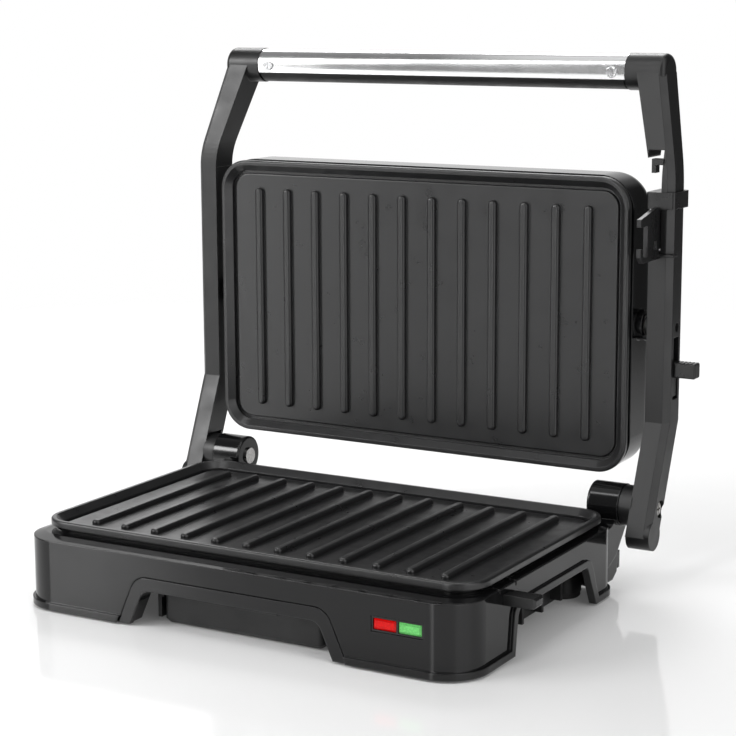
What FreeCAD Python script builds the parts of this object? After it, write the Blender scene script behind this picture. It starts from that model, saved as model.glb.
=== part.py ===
import FreeCAD, Part
import math
import os

# Panini press, modelled open with the upper plate upright.
# Millimetres.  X is to the right, Y to the back, Z up.  The origin lies on the
# table under the centre of the lower cooking plate.

V = FreeCAD.Vector
X_AXIS = V(1, 0, 0)
Y_AXIS = V(0, 1, 0)
Z_AXIS = V(0, 0, 1)

# ---- driving dimensions -------------------------------------------------

# base casing
BASE_HALF_WIDTH = 125.1
BASE_FRONT = -89.0
BASE_BACK = 78.0
BASE_FRONT_RADIUS = 19.5
BASE_BACK_RADIUS = 14.0
BASE_BOTTOM = 1.2
BASE_WALL_TOP = 36.0
LEDGE_TOP = 36.8
WALL = 2.4
LIP_HEIGHT = 3.4
LIP_DEPTH = 1.5
ARCH_LIP_DEPTH = 1.6
ARCH_LIP_RADIUS = 7.0
CREST = {"half_width": 121.6, "front": -79.6, "back": 75.2,
         "front_radius": 13.0, "back_radius": 12.0}
WELL = {"half_width": 119.0, "half_depth": 72.6, "radius": 11.0}
CAVITY_TOP = 33.0
VENT_PITCH = 6
VENT_REACH = 36
VENT_HALF_WIDTH = 1.2
VENT_Z = (12.0, 27.0)
BOSS_TOP = 33.4

# openings in the skirt of the base: half width or span at the top and bottom
FRONT_ARCH = {"bottom": 65.0, "top": 53.5, "height": 25.8, "band": 6.8}
ARCH_THROAT_BACK = -80.2
SIDE_ARCH = {"front_top": -38.7, "front_bottom": -42.4,
             "back_top": 38.6, "back_bottom": 51.0, "height": 23.0}

# cooking plates
RIM_HALF_WIDTH = 122.5
RIM_HALF_DEPTH = 76.0
RIM_RADIUS = 16.0
PLATE_BODY_RADIUS = 12.5
RIM_THICKNESS = 3.3
RIM_TOP = 42.4
PLATE_BODY_INSET = 4.5
PLATE_BODY_DEPTH = 4.5
RIM_FLAT = 2.4
SLOPE_DEPTH = 3.2
CHANNEL_INSET = 5.6
CHANNEL_DEPTH = 5.4
PANEL_INSET = 7.2
PANEL_DEPTH = 4.0
RIB_COUNT = 12
RIB_PITCH = 18.0
RIB_LENGTH = 122.0
RIB_WIDTH = 4.6
RIB_HEIGHT = 2.6

# main hinge, and the upper press that it carries
HINGE_Y = 91.8
HINGE_Z = 42.4
CLOSED_GAP = 0.3
RIM_FACE_Y = HINGE_Y + RIM_TOP + CLOSED_GAP - HINGE_Z
UPPER_CENTRE_Z = 133.4
KNUCKLE_RADIUS = 11.0
KNUCKLE_INNER_X = 106.4
KNUCKLE_OUTER_X = 123.7
BRACKET_SCREWS = [(108.0, 14.0), (108.0, 27.0)]
HINGE_PIN_RADIUS = 4.5
HINGE_PIN_X = (105.2, 136.8)
RUNNING_CLEARANCE = 0.05

# side outlines of what the hinge brackets carry
NECK_OUTLINE = [(66.0, 9.0), (66.0, 33.0), (78.0, 33.6), (84.0, 37.0), (HINGE_Y, HINGE_Z),
                (101.5, 38.5), (96.5, 30.0), (84.5, 17.0)]
NECK_SETBACK = 1.6
CORD_LUG_OUTLINE = [(66.0, 18.5), (90.5, 18.5), (90.5, 9.5), (87.9, 9.5), (87.9, 13.0),
                    (87.0, 8.0), (82.0, 4.8), (66.0, 4.8)]
CORD_LUG_X = (108.5, 121.5)

# arms
ARM_INNER_X = 130.3
ARM_OUTER_X = 142.8
ARM_HALF_DEPTH = 8.25
ARM_CHAMFER = 3.1
ARM_FOOT = (84.0, 30.0)
ARM_BEND_Z = 85.0
ARM_STRAIGHT_Y = 107.25
ARM_SHOULDER_Z = 212.0
ARM_SHOULDER_REACH = 8.0
ARM_CROWN_GROWTH = 2.4
ARM_WALL = 2.2
LEFT_CHANNEL_TOP = 203.0
RIGHT_CHANNEL_TOP = 166.0
HANDLE_Y = 121.3
HANDLE_Z = 260.6
HANDLE_SHIFT_X = -11.2
HANDLE_HALF_LENGTH = 110.0
HANDLE_RADIUS = 9.1
SOCKET_RADIUS = 9.4
HANDLE_SLOT_ANGLE = 25.0
HANDLE_WALL = 0.8
HANDLE_SCREW_X = (-103.0, 103.0)
LOCK_RECESS_X = 136.6
LOCK_RECESS_Z = (173.0, 223.0)
COVER_THICKNESS = 1.9
HINGE_BOSS_RADIUS = KNUCKLE_RADIUS - 0.5
PIVOT_BOSS_RADIUS = 5.6
PIVOT_BOSS_X = 127.2
HEAD_SEAT_X = 139.0

# upper housing and the pivots that let it float
HOUSING_FRONT_Y = RIM_FACE_Y + 6.6
HOUSING_BACK_Y = RIM_FACE_Y + 38.0
HOUSING_RADIUS = 18.5
HOUSING_BACK_FILLET = 13.0
PANEL_THICKNESS = 0.7
FLOAT_Y = 108.5
FLOAT_Z = UPPER_CENTRE_Z
FLOAT_PIN_RADIUS = 3.0
FLOAT_BUSH_RADIUS = 5.0
FLOAT_BOSS_RADIUS = 8.0
FLOAT_BOSS_X = (117.4, 126.8)
PANEL_HALF_WIDTH = 98.0
PANEL_HALF_HEIGHT = 54.0
PANEL_RADIUS = 12.0
HOUSING_VENT_PITCH = 8
HOUSING_VENT_REACH = 60
HOUSING_SCREW_SEAT = 8.0

# lock: a tab on the base and a slider on the right arm
TAB = {"x": (122.0, 141.0), "y": (-52.0, -43.0), "z": (28.0, 33.0)}
LOCK_PLATE_X = (133.9, 136.2)
COLLAR_Z = (194.0, 202.4)
COLLAR_WALL = 1.7
LEAF_X = (135.3, 135.7)
LEAF_Y = (101.0, 113.0)
STOP_Y = (99.4, 104.4)
STOP_Z = (215.8, 218.8)

# release lever in the right arm
LEVER_Z = 112.0
LEVER_SLOT_Z = (96.5, 128.5)
LEVER_Y = 108.0
CARRIAGE_HALF = 3.0
CAVITY_FOOT_Z = 50.5
COVER_FOOT_Z = 53.4
SPRING_FOOT_Z = 90.0
SPRING_X = 136.0
SPRING_Y = 104.0
ROD_X = (134.6, 137.0)
ROD_Y = 110.6
ROD_HALF = 1.2
ROD_BEND_Z = 89.0
ROD_FOOT_Z = 53.4
KNOB_HALF_HEIGHT = 3.9
KNOB_END_X = 154.6
DETENT_X = (131.6, 134.0)
DETENT_RADIUS = 6.2

# drip tray
TRAY_HALF_WIDTH = 45.0
TRAY_FRONT = -78.0
TRAY_BACK = -14.0
TRAY_BOTTOM = 1.0
TRAY_TOP = 16.5
TRAY_WALL = 1.6
TRAY_FLANGE_X = 46.4

# chassis
DECK_Z = (19.0, 21.0)
FOOT_POSITIONS = [(x, y) for x in (-104.0, 104.0) for y in (-67.0, 60.0)]
PLATE_POSTS = [(x, y) for x in (-88.0, 88.0) for y in (-46.0, 46.0)]
PLATE_BOSS_LENGTH = 5.0
PLATE_BODY_BOTTOM = RIM_TOP - RIM_THICKNESS - PLATE_BODY_DEPTH
PLATE_BOSS_BOTTOM = PLATE_BODY_BOTTOM - PLATE_BOSS_LENGTH
FOOT_THICKNESS = 3.0
DECK_HALF_WIDTH = 118.0
DECK_Y = (-80.0, 73.0)
LEG_X = (106.0, 108.0)
LEG_GUSSET_X = 114.0
LEG_GUSSETS_Y = (-30.0, -8.0, 14.0, 36.0)
RAIL_WALL = 2.0
SCREW_SEAT_Z = 16.5
BOSS_JOINT_Z = 22.5

# heater and sensor under each plate
HEATER_RADIUS = 3.3
HEATER_DROP = 3.4
HEATER_HALF_WIDTH = 78.0
HEATER_HALF_DEPTH = 36.0
HEATER_END = (22.0, 60.0)
SHIELD_DROP = 9.0
SHIELD_THICKNESS = 0.8

# indicator window
LENS_X = (77.0, 104.0)
LENS_Z = (18.7, 26.2)
GLAND_X = -70.0
GLAND_Z = 18.0
GLAND_BORE_RADIUS = 3.6
GLAND_COLLAR_WALL = 2.4
LAMP_BOARD_Y = (BASE_FRONT + 13.6, BASE_FRONT + 15.2)
TERMINAL_X = (-62.0, -38.0)
TERMINAL_Y = (50.0, 62.0)
LEAD_Z = 25.0


# ---- helpers ------------------------------------------------------------

def box(x0, x1, y0, y1, z0, z1):
    return Part.makeBox(x1 - x0, y1 - y0, z1 - z0, V(x0, y0, z0))


def rod_x(radius, x0, x1, y, z):
    return Part.makeCylinder(radius, x1 - x0, V(x0, y, z), X_AXIS)


def rod_y(radius, y0, y1, x, z):
    return Part.makeCylinder(radius, y1 - y0, V(x, y0, z), Y_AXIS)


def rod_z(radius, z0, z1, x, y):
    return Part.makeCylinder(radius, z1 - z0, V(x, y, z0), Z_AXIS)


def rounded_wire(points, radii):
    """Closed planar wire through the points, each corner rounded by its radius."""
    edges = []
    starts = []
    ends = []
    arcs = []
    count = len(points)
    for i in range(count):
        corner = points[i]
        to_previous = (points[i - 1] - corner).normalize()
        to_next = (points[(i + 1) % count] - corner).normalize()
        radius = radii[i]
        if radius <= 0:
            starts.append(corner)
            ends.append(corner)
            arcs.append(None)
            continue
        half = to_previous.getAngle(to_next) / 2
        reach = radius / math.tan(half)
        bisector = (to_previous + to_next).normalize()
        centre = corner + bisector * (radius / math.sin(half))
        start = corner + to_previous * reach
        end = corner + to_next * reach
        middle = centre - bisector * radius
        starts.append(start)
        ends.append(end)
        arcs.append(Part.Arc(start, middle, end).toShape())
    for i in range(count):
        if arcs[i] is not None:
            edges.append(arcs[i])
        following = starts[(i + 1) % count]
        if ends[i].distanceToPoint(following) > 1e-6:
            edges.append(Part.LineSegment(ends[i], following).toShape())
    return Part.Wire(edges)


def plan_wire(x0, x1, y0, y1, z, front_radius, back_radius):
    corners = [V(x0, y0, z), V(x1, y0, z), V(x1, y1, z), V(x0, y1, z)]
    return rounded_wire(corners, [front_radius, front_radius, back_radius, back_radius])


def slab(x0, x1, y0, y1, z0, z1, front_radius, back_radius=None):
    """Upright block with rounded vertical edges."""
    if back_radius is None:
        back_radius = front_radius
    face = Part.Face(plan_wire(x0, x1, y0, y1, z0, front_radius, back_radius))
    return face.extrude(V(0, 0, z1 - z0))


def prism_x(outline, x0, x1, radii=None):
    points = [V(x0, y, z) for y, z in outline]
    wire = rounded_wire(points, radii or [0] * len(points))
    return Part.Face(wire).extrude(V(x1 - x0, 0, 0))


def prism_y(outline, y0, y1, radii=None):
    points = [V(x, y0, z) for x, z in outline]
    wire = rounded_wire(points, radii or [0] * len(points))
    return Part.Face(wire).extrude(V(0, y1 - y0, 0))


def fuse(shapes):
    result = shapes[0]
    for shape in shapes[1:]:
        result = result.fuse(shape)
    return result.removeSplitter()


def cut(shape, tools):
    for tool in tools:
        shape = shape.cut(tool)
    return shape.removeSplitter()


def mirrored(shape):
    return shape.mirror(V(0, 0, 0), X_AXIS)


def tube(points, radius, bend):
    """Solid round bar along straight runs joined by tangent arcs."""
    edges = []
    start = points[0]
    for i in range(1, len(points) - 1):
        corner = points[i]
        back = (points[i - 1] - corner).normalize()
        ahead = (points[i + 1] - corner).normalize()
        half = back.getAngle(ahead) / 2
        reach = bend / math.tan(half)
        bisector = (back + ahead).normalize()
        middle = corner + bisector * (bend / math.sin(half) - bend)
        edges.append(Part.LineSegment(start, corner + back * reach).toShape())
        edges.append(Part.Arc(corner + back * reach, middle, corner + ahead * reach).toShape())
        start = corner + ahead * reach
    edges.append(Part.LineSegment(start, points[-1]).toShape())
    path = Part.Wire(edges)
    direction = (points[1] - points[0]).normalize()
    section = Part.Wire(Part.makeCircle(radius, points[0], direction))
    return path.makePipeShell([section], True, False)


def coil(radius, wire_radius, turns, x, y, z0, z1):
    height = z1 - z0 - 2 * wire_radius
    helix = Part.makeHelix(height / turns, height, radius)
    section = Part.Wire(Part.makeCircle(wire_radius, V(radius, 0, 0), Y_AXIS))
    spring = Part.Wire(helix.Edges).makePipeShell([section], True, True)
    spring.translate(V(x, y, z0 + wire_radius))
    return spring


def screw(head_radius, head_height, shank_radius, shank_length):
    """Pan-head screw on Z: head above z = 0, shank below, cross recess on top."""
    head = rod_z(head_radius, 0, head_height, 0, 0)
    rim = [edge for edge in head.Edges if abs(edge.CenterOfMass.z - head_height) < 1e-6]
    head = head.makeFillet(head_height * 0.45, rim)
    shank = rod_z(shank_radius, -shank_length, 0.2, 0, 0)
    reach = head_radius * 0.62
    half_slot = head_radius * 0.12
    floor = head_height * 0.5
    recess = [box(-reach, reach, -half_slot, half_slot, floor, head_height + 1),
              box(-half_slot, half_slot, -reach, reach, floor, head_height + 1)]
    return cut(fuse([head, shank]), recess)


def placed(shape, position, axis=X_AXIS, angle=0.0):
    copy = shape.copy()
    copy.rotate(V(0, 0, 0), axis, angle)
    copy.translate(position)
    return copy


def group(shapes):
    return Part.makeCompound(shapes)


def to_upper(shape):
    """Turn a piece made for the lower plate so that it faces the front, upright."""
    copy = shape.copy()
    copy.rotate(V(0, 0, 0), X_AXIS, 90)
    copy.translate(V(0, RIM_FACE_Y + RIM_TOP, UPPER_CENTRE_Z))
    return copy


# ---- base ---------------------------------------------------------------

def front_arch_outline(inset, drop):
    """Trapezoid of the front arch, every side moved inwards by inset."""
    slope = (FRONT_ARCH["bottom"] - FRONT_ARCH["top"]) / FRONT_ARCH["height"]
    sideways = inset * math.hypot(1, slope)
    height = FRONT_ARCH["height"] - inset
    bottom = FRONT_ARCH["bottom"] - slope * drop - sideways
    top = FRONT_ARCH["bottom"] - slope * height - sideways
    return [(-bottom, drop), (bottom, drop), (top, height), (-top, height)]


def side_arch_outline(grow):
    return [(SIDE_ARCH["front_bottom"] - grow, -1.0),
            (SIDE_ARCH["back_bottom"] + grow * 1.3, -1.0),
            (SIDE_ARCH["back_top"] + grow * 1.3, SIDE_ARCH["height"] + grow),
            (SIDE_ARCH["front_top"] - grow, SIDE_ARCH["height"] + grow)]


def base_skin():
    body = slab(-BASE_HALF_WIDTH, BASE_HALF_WIDTH, BASE_FRONT, BASE_BACK,
                BASE_BOTTOM, BASE_WALL_TOP, BASE_FRONT_RADIUS, BASE_BACK_RADIUS)
    shoulder = plan_wire(-BASE_HALF_WIDTH, BASE_HALF_WIDTH, BASE_FRONT, BASE_BACK,
                         BASE_WALL_TOP, BASE_FRONT_RADIUS, BASE_BACK_RADIUS)
    crest = plan_wire(-CREST["half_width"], CREST["half_width"], CREST["front"], CREST["back"],
                      LEDGE_TOP, CREST["front_radius"], CREST["back_radius"])
    ledge = Part.makeLoft([shoulder, crest], True, True)
    lip = slab(-BASE_HALF_WIDTH - LIP_DEPTH, BASE_HALF_WIDTH + LIP_DEPTH,
               BASE_FRONT - LIP_DEPTH, BASE_BACK + LIP_DEPTH,
               BASE_BOTTOM, BASE_BOTTOM + LIP_HEIGHT,
               BASE_FRONT_RADIUS + LIP_DEPTH, BASE_BACK_RADIUS + LIP_DEPTH)
    arch_lips = [prism_x(side_arch_outline(LIP_HEIGHT), side - ARCH_LIP_DEPTH,
                         side + ARCH_LIP_DEPTH, [0, 0, ARCH_LIP_RADIUS, ARCH_LIP_RADIUS])
                 for side in (-BASE_HALF_WIDTH, BASE_HALF_WIDTH)]
    keep = slab(-BASE_HALF_WIDTH - LIP_DEPTH, BASE_HALF_WIDTH + LIP_DEPTH,
                BASE_FRONT - LIP_DEPTH, BASE_BACK + LIP_DEPTH, BASE_BOTTOM, RIM_TOP, 20)
    return fuse([body, ledge, lip] + [piece.common(keep) for piece in arch_lips])


def knuckle(side):
    """Hinge barrel on the back of the base, with the neck that carries it."""
    x0, x1 = sorted((side * KNUCKLE_INNER_X, side * KNUCKLE_OUTER_X))
    barrel = rod_x(KNUCKLE_RADIUS, x0, x1, HINGE_Y, HINGE_Z)
    rims = [edge for edge in barrel.Edges
            if abs(edge.CenterOfMass.x - side * KNUCKLE_INNER_X) < 1e-6]
    barrel = barrel.makeFillet(1.2, rims)
    neck = prism_x(NECK_OUTLINE, x0 + NECK_SETBACK, x1 - NECK_SETBACK)
    return fuse([barrel, neck])


def cord_lug(side):
    """Hook at each rear corner to wind the lead on, also the heel when stood on end."""
    x0, x1 = sorted(side * x for x in CORD_LUG_X)
    return prism_x(CORD_LUG_OUTLINE, x0, x1)


def hinge_bracket(side, skin):
    """Moulded bracket on a rear corner: barrel, neck and lug, shaped to the casing."""
    x0, x1 = sorted(side * x for x in HINGE_PIN_X)
    pin = rod_x(HINGE_PIN_RADIUS, x0, x1, HINGE_Y, HINGE_Z)
    pilots = [rod_y(1.5, 70.0, 88.0, side * x, z) for x, z in BRACKET_SCREWS]
    return cut(fuse([knuckle(side), cord_lug(side)]), [skin, pin] + pilots)


def bracket_screws():
    piece = screw(3.0, 1.8, 1.5, 10.0)
    inner_face = BASE_BACK - WALL
    return group([placed(piece, V(side * x, inner_face, z), X_AXIS, 90)
                  for side in (-1, 1) for x, z in BRACKET_SCREWS])


def screw_boss(x, y):
    """Boss under the ledge that a base screw bites into, webbed to the side wall."""
    wall_x = math.copysign(BASE_HALF_WIDTH - WALL / 2, x)
    x0, x1 = sorted((x, wall_x))
    web = box(x0, x1, y - 1.0, y + 1.0, BOSS_JOINT_Z + 1.5, BOSS_TOP)
    pilot = rod_z(1.5, BOSS_JOINT_Z - 1.0, BOSS_TOP - WALL, x, y)
    return cut(fuse([rod_z(4.6, BOSS_JOINT_Z, BOSS_TOP, x, y), web]), [pilot])


def base_shell():
    cavity = slab(-BASE_HALF_WIDTH + WALL, BASE_HALF_WIDTH - WALL,
                  BASE_FRONT + WALL, BASE_BACK - WALL, BASE_BOTTOM - 1, CAVITY_TOP,
                  BASE_FRONT_RADIUS - WALL, BASE_BACK_RADIUS - WALL)
    well = slab(-WELL["half_width"], WELL["half_width"], -WELL["half_depth"],
                WELL["half_depth"], CAVITY_TOP - 3, LEDGE_TOP + 3, WELL["radius"])
    front_arch = prism_y(front_arch_outline(0, -1.0), BASE_FRONT - 4, BASE_FRONT + 4,
                         [0, 0, 10, 10])
    side_arches = prism_x(side_arch_outline(0), -140.0, 140.0, [0, 0, 4, 4])
    window = box(LENS_X[0], LENS_X[1], BASE_FRONT - 3, BASE_FRONT + 4, LENS_Z[0], LENS_Z[1])
    gland_hole = rod_y(GLAND_BORE_RADIUS + GLAND_COLLAR_WALL, BASE_BACK - 4, BASE_BACK + 2,
                       GLAND_X, GLAND_Z)
    vents = [box(x - VENT_HALF_WIDTH, x + VENT_HALF_WIDTH, BASE_BACK - 4, BASE_BACK + 2, *VENT_Z)
             for x in range(-VENT_REACH, VENT_REACH + VENT_PITCH, VENT_PITCH)]
    bracket_holes = [rod_y(1.6, BASE_BACK - 5, BASE_BACK + 2, side * x, z)
                     for side in (-1, 1) for x, z in BRACKET_SCREWS]
    solid = cut(base_skin(), [cavity, well, front_arch, side_arches, window, gland_hole] + vents)
    bosses_inside = [screw_boss(x, y) for x, y in FOOT_POSITIONS]
    tab_hole = box(120.0, 130.0, *TAB["y"], *TAB["z"])
    notch_lines = [box(side * 123.6 - 1.9, side * 123.6 + 1.9, y - 0.6, y + 0.6, 34.3, 37.5)
                   for side in (-1, 1) for y in (-56.0, -39.0)]
    return cut(fuse([solid] + bosses_inside), bracket_holes + notch_lines + [tab_hole])


def lock_tab():
    tab = box(TAB["x"][0], TAB["x"][1], TAB["y"][0], TAB["y"][1], TAB["z"][0], TAB["z"][1])
    outer = [edge for edge in tab.Edges if abs(edge.CenterOfMass.x - TAB["x"][1]) < 1e-6]
    flange = box(BASE_HALF_WIDTH - WALL - 1.4, BASE_HALF_WIDTH - WALL, TAB["y"][0] - 2,
                 TAB["y"][1] + 2, TAB["z"][0] - 2, TAB["z"][1])
    return fuse([tab.makeChamfer(1.1, outer), flange])


def front_arch_trim():
    gap = 0.35
    band = prism_y(front_arch_outline(gap, BASE_BOTTOM), BASE_FRONT - 0.25, BASE_FRONT + WALL,
                   [0, 0, 9.6, 9.6])
    flange = prism_y(front_arch_outline(-3.0, BASE_BOTTOM + 0.8), BASE_FRONT + WALL,
                     BASE_FRONT + WALL + 1.4, [0, 0, 10, 10])
    throat = prism_y(front_arch_outline(FRONT_ARCH["band"] - 1.6, BASE_BOTTOM + 0.8),
                     BASE_FRONT + WALL, ARCH_THROAT_BACK, [0, 0, 8.1, 8.1])
    hollow = prism_y(front_arch_outline(FRONT_ARCH["band"], -1.0), BASE_FRONT - 5,
                     ARCH_THROAT_BACK + 1, [0, 0, 6.5, 6.5])
    return cut(fuse([band, flange, throat]), [hollow])


def base_pan():
    """Inner chassis: deck, side legs, tray rails, foot columns and plate posts."""
    deck = slab(-DECK_HALF_WIDTH, DECK_HALF_WIDTH, *DECK_Y, *DECK_Z, 10.0)
    legs = []
    for side in (-1, 1):
        x0, x1 = sorted(side * x for x in LEG_X)
        legs.append(box(x0, x1, -52.0, 50.0, FOOT_THICKNESS, DECK_Z[0]))
        for y in LEG_GUSSETS_Y:
            x0, x1 = sorted((side * LEG_X[1], side * LEG_GUSSET_X))
            legs.append(box(x0, x1, y - 1.0, y + 1.0, FOOT_THICKNESS + 2, DECK_Z[0]))
    rails = []
    for side in (-1, 1):
        inner = TRAY_FLANGE_X + 0.5
        x0, x1 = sorted((side * inner, side * (inner + RAIL_WALL)))
        rails.append(box(x0, x1, TRAY_FRONT + 1, TRAY_BACK + 4, FOOT_THICKNESS, DECK_Z[0]))
        x0, x1 = sorted((side * (TRAY_HALF_WIDTH + 0.5), side * (inner + 0.2)))
        rails.append(box(x0, x1, TRAY_FRONT + 1, TRAY_BACK + 4, TRAY_TOP - 3.2, TRAY_TOP - 1.35))
    stop_x = TRAY_FLANGE_X + 0.5 + RAIL_WALL
    back_stop = box(-stop_x, stop_x, TRAY_BACK + 2.0, TRAY_BACK + 4.0, FOOT_THICKNESS, DECK_Z[0])
    columns = [rod_z(9.0, FOOT_THICKNESS, DECK_Z[0], x, y) for x, y in FOOT_POSITIONS]
    shell_bosses = [rod_z(4.4, DECK_Z[1], BOSS_JOINT_Z, x, y) for x, y in FOOT_POSITIONS]
    posts = [rod_z(4.2, DECK_Z[1], PLATE_BOSS_BOTTOM, x, y) for x, y in PLATE_POSTS]
    screw_holes = [rod_z(2.0, 0.0, 24.0, x, y) for x, y in FOOT_POSITIONS]
    counterbores = [rod_z(4.2, 2.0, SCREW_SEAT_Z, x, y) for x, y in FOOT_POSITIONS]
    plate_holes = [rod_z(1.8, 15.0, 32.0, x, y) for x, y in PLATE_POSTS]
    body = fuse([deck, back_stop] + legs + rails + columns + shell_bosses + posts)
    gland_notch = box(GLAND_X - 9, GLAND_X + 9, BASE_BACK - 13, BASE_BACK, 18.0, 22.0)
    return cut(body, screw_holes + counterbores + plate_holes + [gland_notch])


def rubber_feet():
    feet = []
    for x, y in FOOT_POSITIONS:
        foot = rod_z(8.6, 0.0, FOOT_THICKNESS, x, y)
        edge = [e for e in foot.Edges if abs(e.CenterOfMass.z) < 1e-6]
        foot = foot.makeChamfer(0.8, edge)
        plug = rod_z(4.1, FOOT_THICKNESS, FOOT_THICKNESS + 5.0, x, y)
        feet.append(foot.fuse(plug).removeSplitter())
    return group(feet)


def base_screws():
    piece = screw(3.6, 2.2, 1.5, 12.0)
    return group([placed(piece, V(x, y, SCREW_SEAT_Z), X_AXIS, 180) for x, y in FOOT_POSITIONS])


def cord_gland():
    """Rubber inlet bush in the back wall, flanged inside and out."""
    outside = rod_y(GLAND_BORE_RADIUS + 4.6, BASE_BACK, BASE_BACK + 3.0, GLAND_X, GLAND_Z)
    collar = rod_y(GLAND_BORE_RADIUS + GLAND_COLLAR_WALL, BASE_BACK - 8.0, BASE_BACK,
                   GLAND_X, GLAND_Z)
    inside = rod_y(GLAND_BORE_RADIUS + 4.0, BASE_BACK - 11.0, BASE_BACK - 8.0, GLAND_X, GLAND_Z)
    bore = rod_y(GLAND_BORE_RADIUS, BASE_BACK - 20, BASE_BACK + 10, GLAND_X, GLAND_Z)
    return cut(fuse([outside, collar, inside]), [bore])


def lens_bezel():
    frame = box(LENS_X[0] + 0.15, LENS_X[1] - 0.15, BASE_FRONT + 0.4, BASE_FRONT + 4.4,
                LENS_Z[0] + 0.15, LENS_Z[1] - 0.15)
    flange = box(LENS_X[0] - 2, LENS_X[1] + 2, BASE_FRONT + WALL, BASE_FRONT + 4.4,
                 LENS_Z[0] - 1.8, LENS_Z[1] + 1.8)
    holes = [box(x0, x1, BASE_FRONT - 1, BASE_FRONT + 9, LENS_Z[0] + 1.0, LENS_Z[1] - 1.0)
             for x0, x1 in lens_spans()]
    return cut(fuse([frame, flange]), holes)


def lens_spans():
    middle = sum(LENS_X) / 2
    return [(LENS_X[0] + 1.0, middle - 0.5), (middle + 0.5, LENS_X[1] - 1.0)]


def lens(span):
    block = box(span[0] + 0.05, span[1] - 0.05, BASE_FRONT + 0.2, BASE_FRONT + 5.6,
                LENS_Z[0] + 1.05, LENS_Z[1] - 1.05)
    front = [edge for edge in block.Edges
             if abs(edge.CenterOfMass.y - BASE_FRONT - 0.2) < 1e-6]
    return block.makeChamfer(0.9, front)


def lamp_board():
    return box(LENS_X[0] - 4, LENS_X[1] + 4, *LAMP_BOARD_Y, DECK_Z[1], DECK_Z[1] + 10)


def neon_lamps():
    lamps = []
    for span in lens_spans():
        x = sum(span) / 2
        lamps.append(rod_y(2.0, BASE_FRONT + 7.0, LAMP_BOARD_Y[0], x, sum(LENS_Z) / 2 + 2.0))
    return group(lamps)


def terminal_block():
    top = DECK_Z[1] + 10.0
    block = box(*TERMINAL_X, *TERMINAL_Y, DECK_Z[1], top)
    middle = sum(TERMINAL_X) / 2
    wells = [rod_z(2.2, top - 4.0, top + 1.0, middle + i * 7.0, sum(TERMINAL_Y) / 2)
             for i in (-1, 0, 1)]
    return cut(block, wells)


def base_lead():
    """Supply lead from the inlet bush to the terminal block."""
    y = sum(TERMINAL_Y) / 2
    points = [V(GLAND_X, BASE_BACK - 11.2, GLAND_Z + 6.6), V(GLAND_X, y, LEAD_Z),
              V(TERMINAL_X[0] - 0.1, y, LEAD_Z)]
    return tube(points, 2.0, 2.6)


def thermal_fuse():
    """Fuse on the heat shield: a sleeved body between two bare leads."""
    middle = -13.0
    place = (30.0, 30.0)
    body = rod_x(2.2, middle - 7.0, middle + 7.0, *place)
    leads = rod_x(0.6, middle - 17.0, middle + 17.0, *place)
    return fuse([body, leads])


# ---- cooking plates and what heats them ---------------------------------

def rib():
    """One raised bar, rounded at its ends and along its top."""
    half = RIB_WIDTH / 2
    bar = slab(-half, half, -RIB_LENGTH / 2, RIB_LENGTH / 2, 0, RIB_HEIGHT, half - 0.05)
    top = [edge for edge in bar.Edges if abs(edge.CenterOfMass.z - RIB_HEIGHT) < 1e-6]
    return bar.makeFillet(1.5, top)


def cooking_panel(bottom, top):
    """Flat of the plate that food lies on, with a soft edge above the fat channel."""
    half_x = RIM_HALF_WIDTH - PANEL_INSET
    half_y = RIM_HALF_DEPTH - PANEL_INSET
    panel = slab(-half_x, half_x, -half_y, half_y, bottom, top, 8.8)
    edges = [edge for edge in panel.Edges if abs(edge.CenterOfMass.z - top) < 1e-6]
    return panel.makeFillet(0.9, edges)


def grill_plate():
    rim_bottom = RIM_TOP - RIM_THICKNESS
    body_x = RIM_HALF_WIDTH - PLATE_BODY_INSET
    body_y = RIM_HALF_DEPTH - PLATE_BODY_INSET
    rim = slab(-RIM_HALF_WIDTH, RIM_HALF_WIDTH, -RIM_HALF_DEPTH, RIM_HALF_DEPTH,
               rim_bottom, RIM_TOP, RIM_RADIUS)
    edges = [edge for edge in rim.Edges if abs(edge.CenterOfMass.z - RIM_TOP) < 1e-6]
    rim = rim.makeFillet(1.1, edges)
    body = slab(-body_x, body_x, -body_y, body_y, PLATE_BODY_BOTTOM, rim_bottom,
                PLATE_BODY_RADIUS)
    mouth_x = RIM_HALF_WIDTH - RIM_FLAT
    mouth_y = RIM_HALF_DEPTH - RIM_FLAT
    channel_x = RIM_HALF_WIDTH - CHANNEL_INSET
    channel_y = RIM_HALF_DEPTH - CHANNEL_INSET
    slope_z = RIM_TOP - SLOPE_DEPTH
    channel_z = RIM_TOP - CHANNEL_DEPTH
    lower = plan_wire(-channel_x, channel_x, -channel_y, channel_y, slope_z, 10.4, 10.4)
    upper = plan_wire(-mouth_x, mouth_x, -mouth_y, mouth_y, RIM_TOP + 0.01, 13.6, 13.6)
    mouth = Part.makeLoft([lower, upper], True, True)
    channel = slab(-channel_x, channel_x, -channel_y, channel_y, channel_z, slope_z + 0.05, 10.4)
    floor_z = RIM_TOP - PANEL_DEPTH
    panel = cooking_panel(channel_z - 0.2, floor_z)
    bar = rib()
    first = -(RIB_COUNT - 1) / 2 * RIB_PITCH
    ribs = [placed(bar, V(first + i * RIB_PITCH, 0, floor_z - 0.01)) for i in range(RIB_COUNT)]
    bosses = [rod_z(4.0, PLATE_BOSS_BOTTOM, PLATE_BODY_BOTTOM + 0.5, x, y)
              for x, y in PLATE_POSTS]
    holes = [rod_z(1.5, PLATE_BOSS_BOTTOM - 1, PLATE_BODY_BOTTOM + 0.6, x, y)
             for x, y in PLATE_POSTS]
    dish = cut(fuse([rim, body]), [mouth, channel])
    return cut(fuse([dish, panel] + ribs + bosses), holes)


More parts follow.
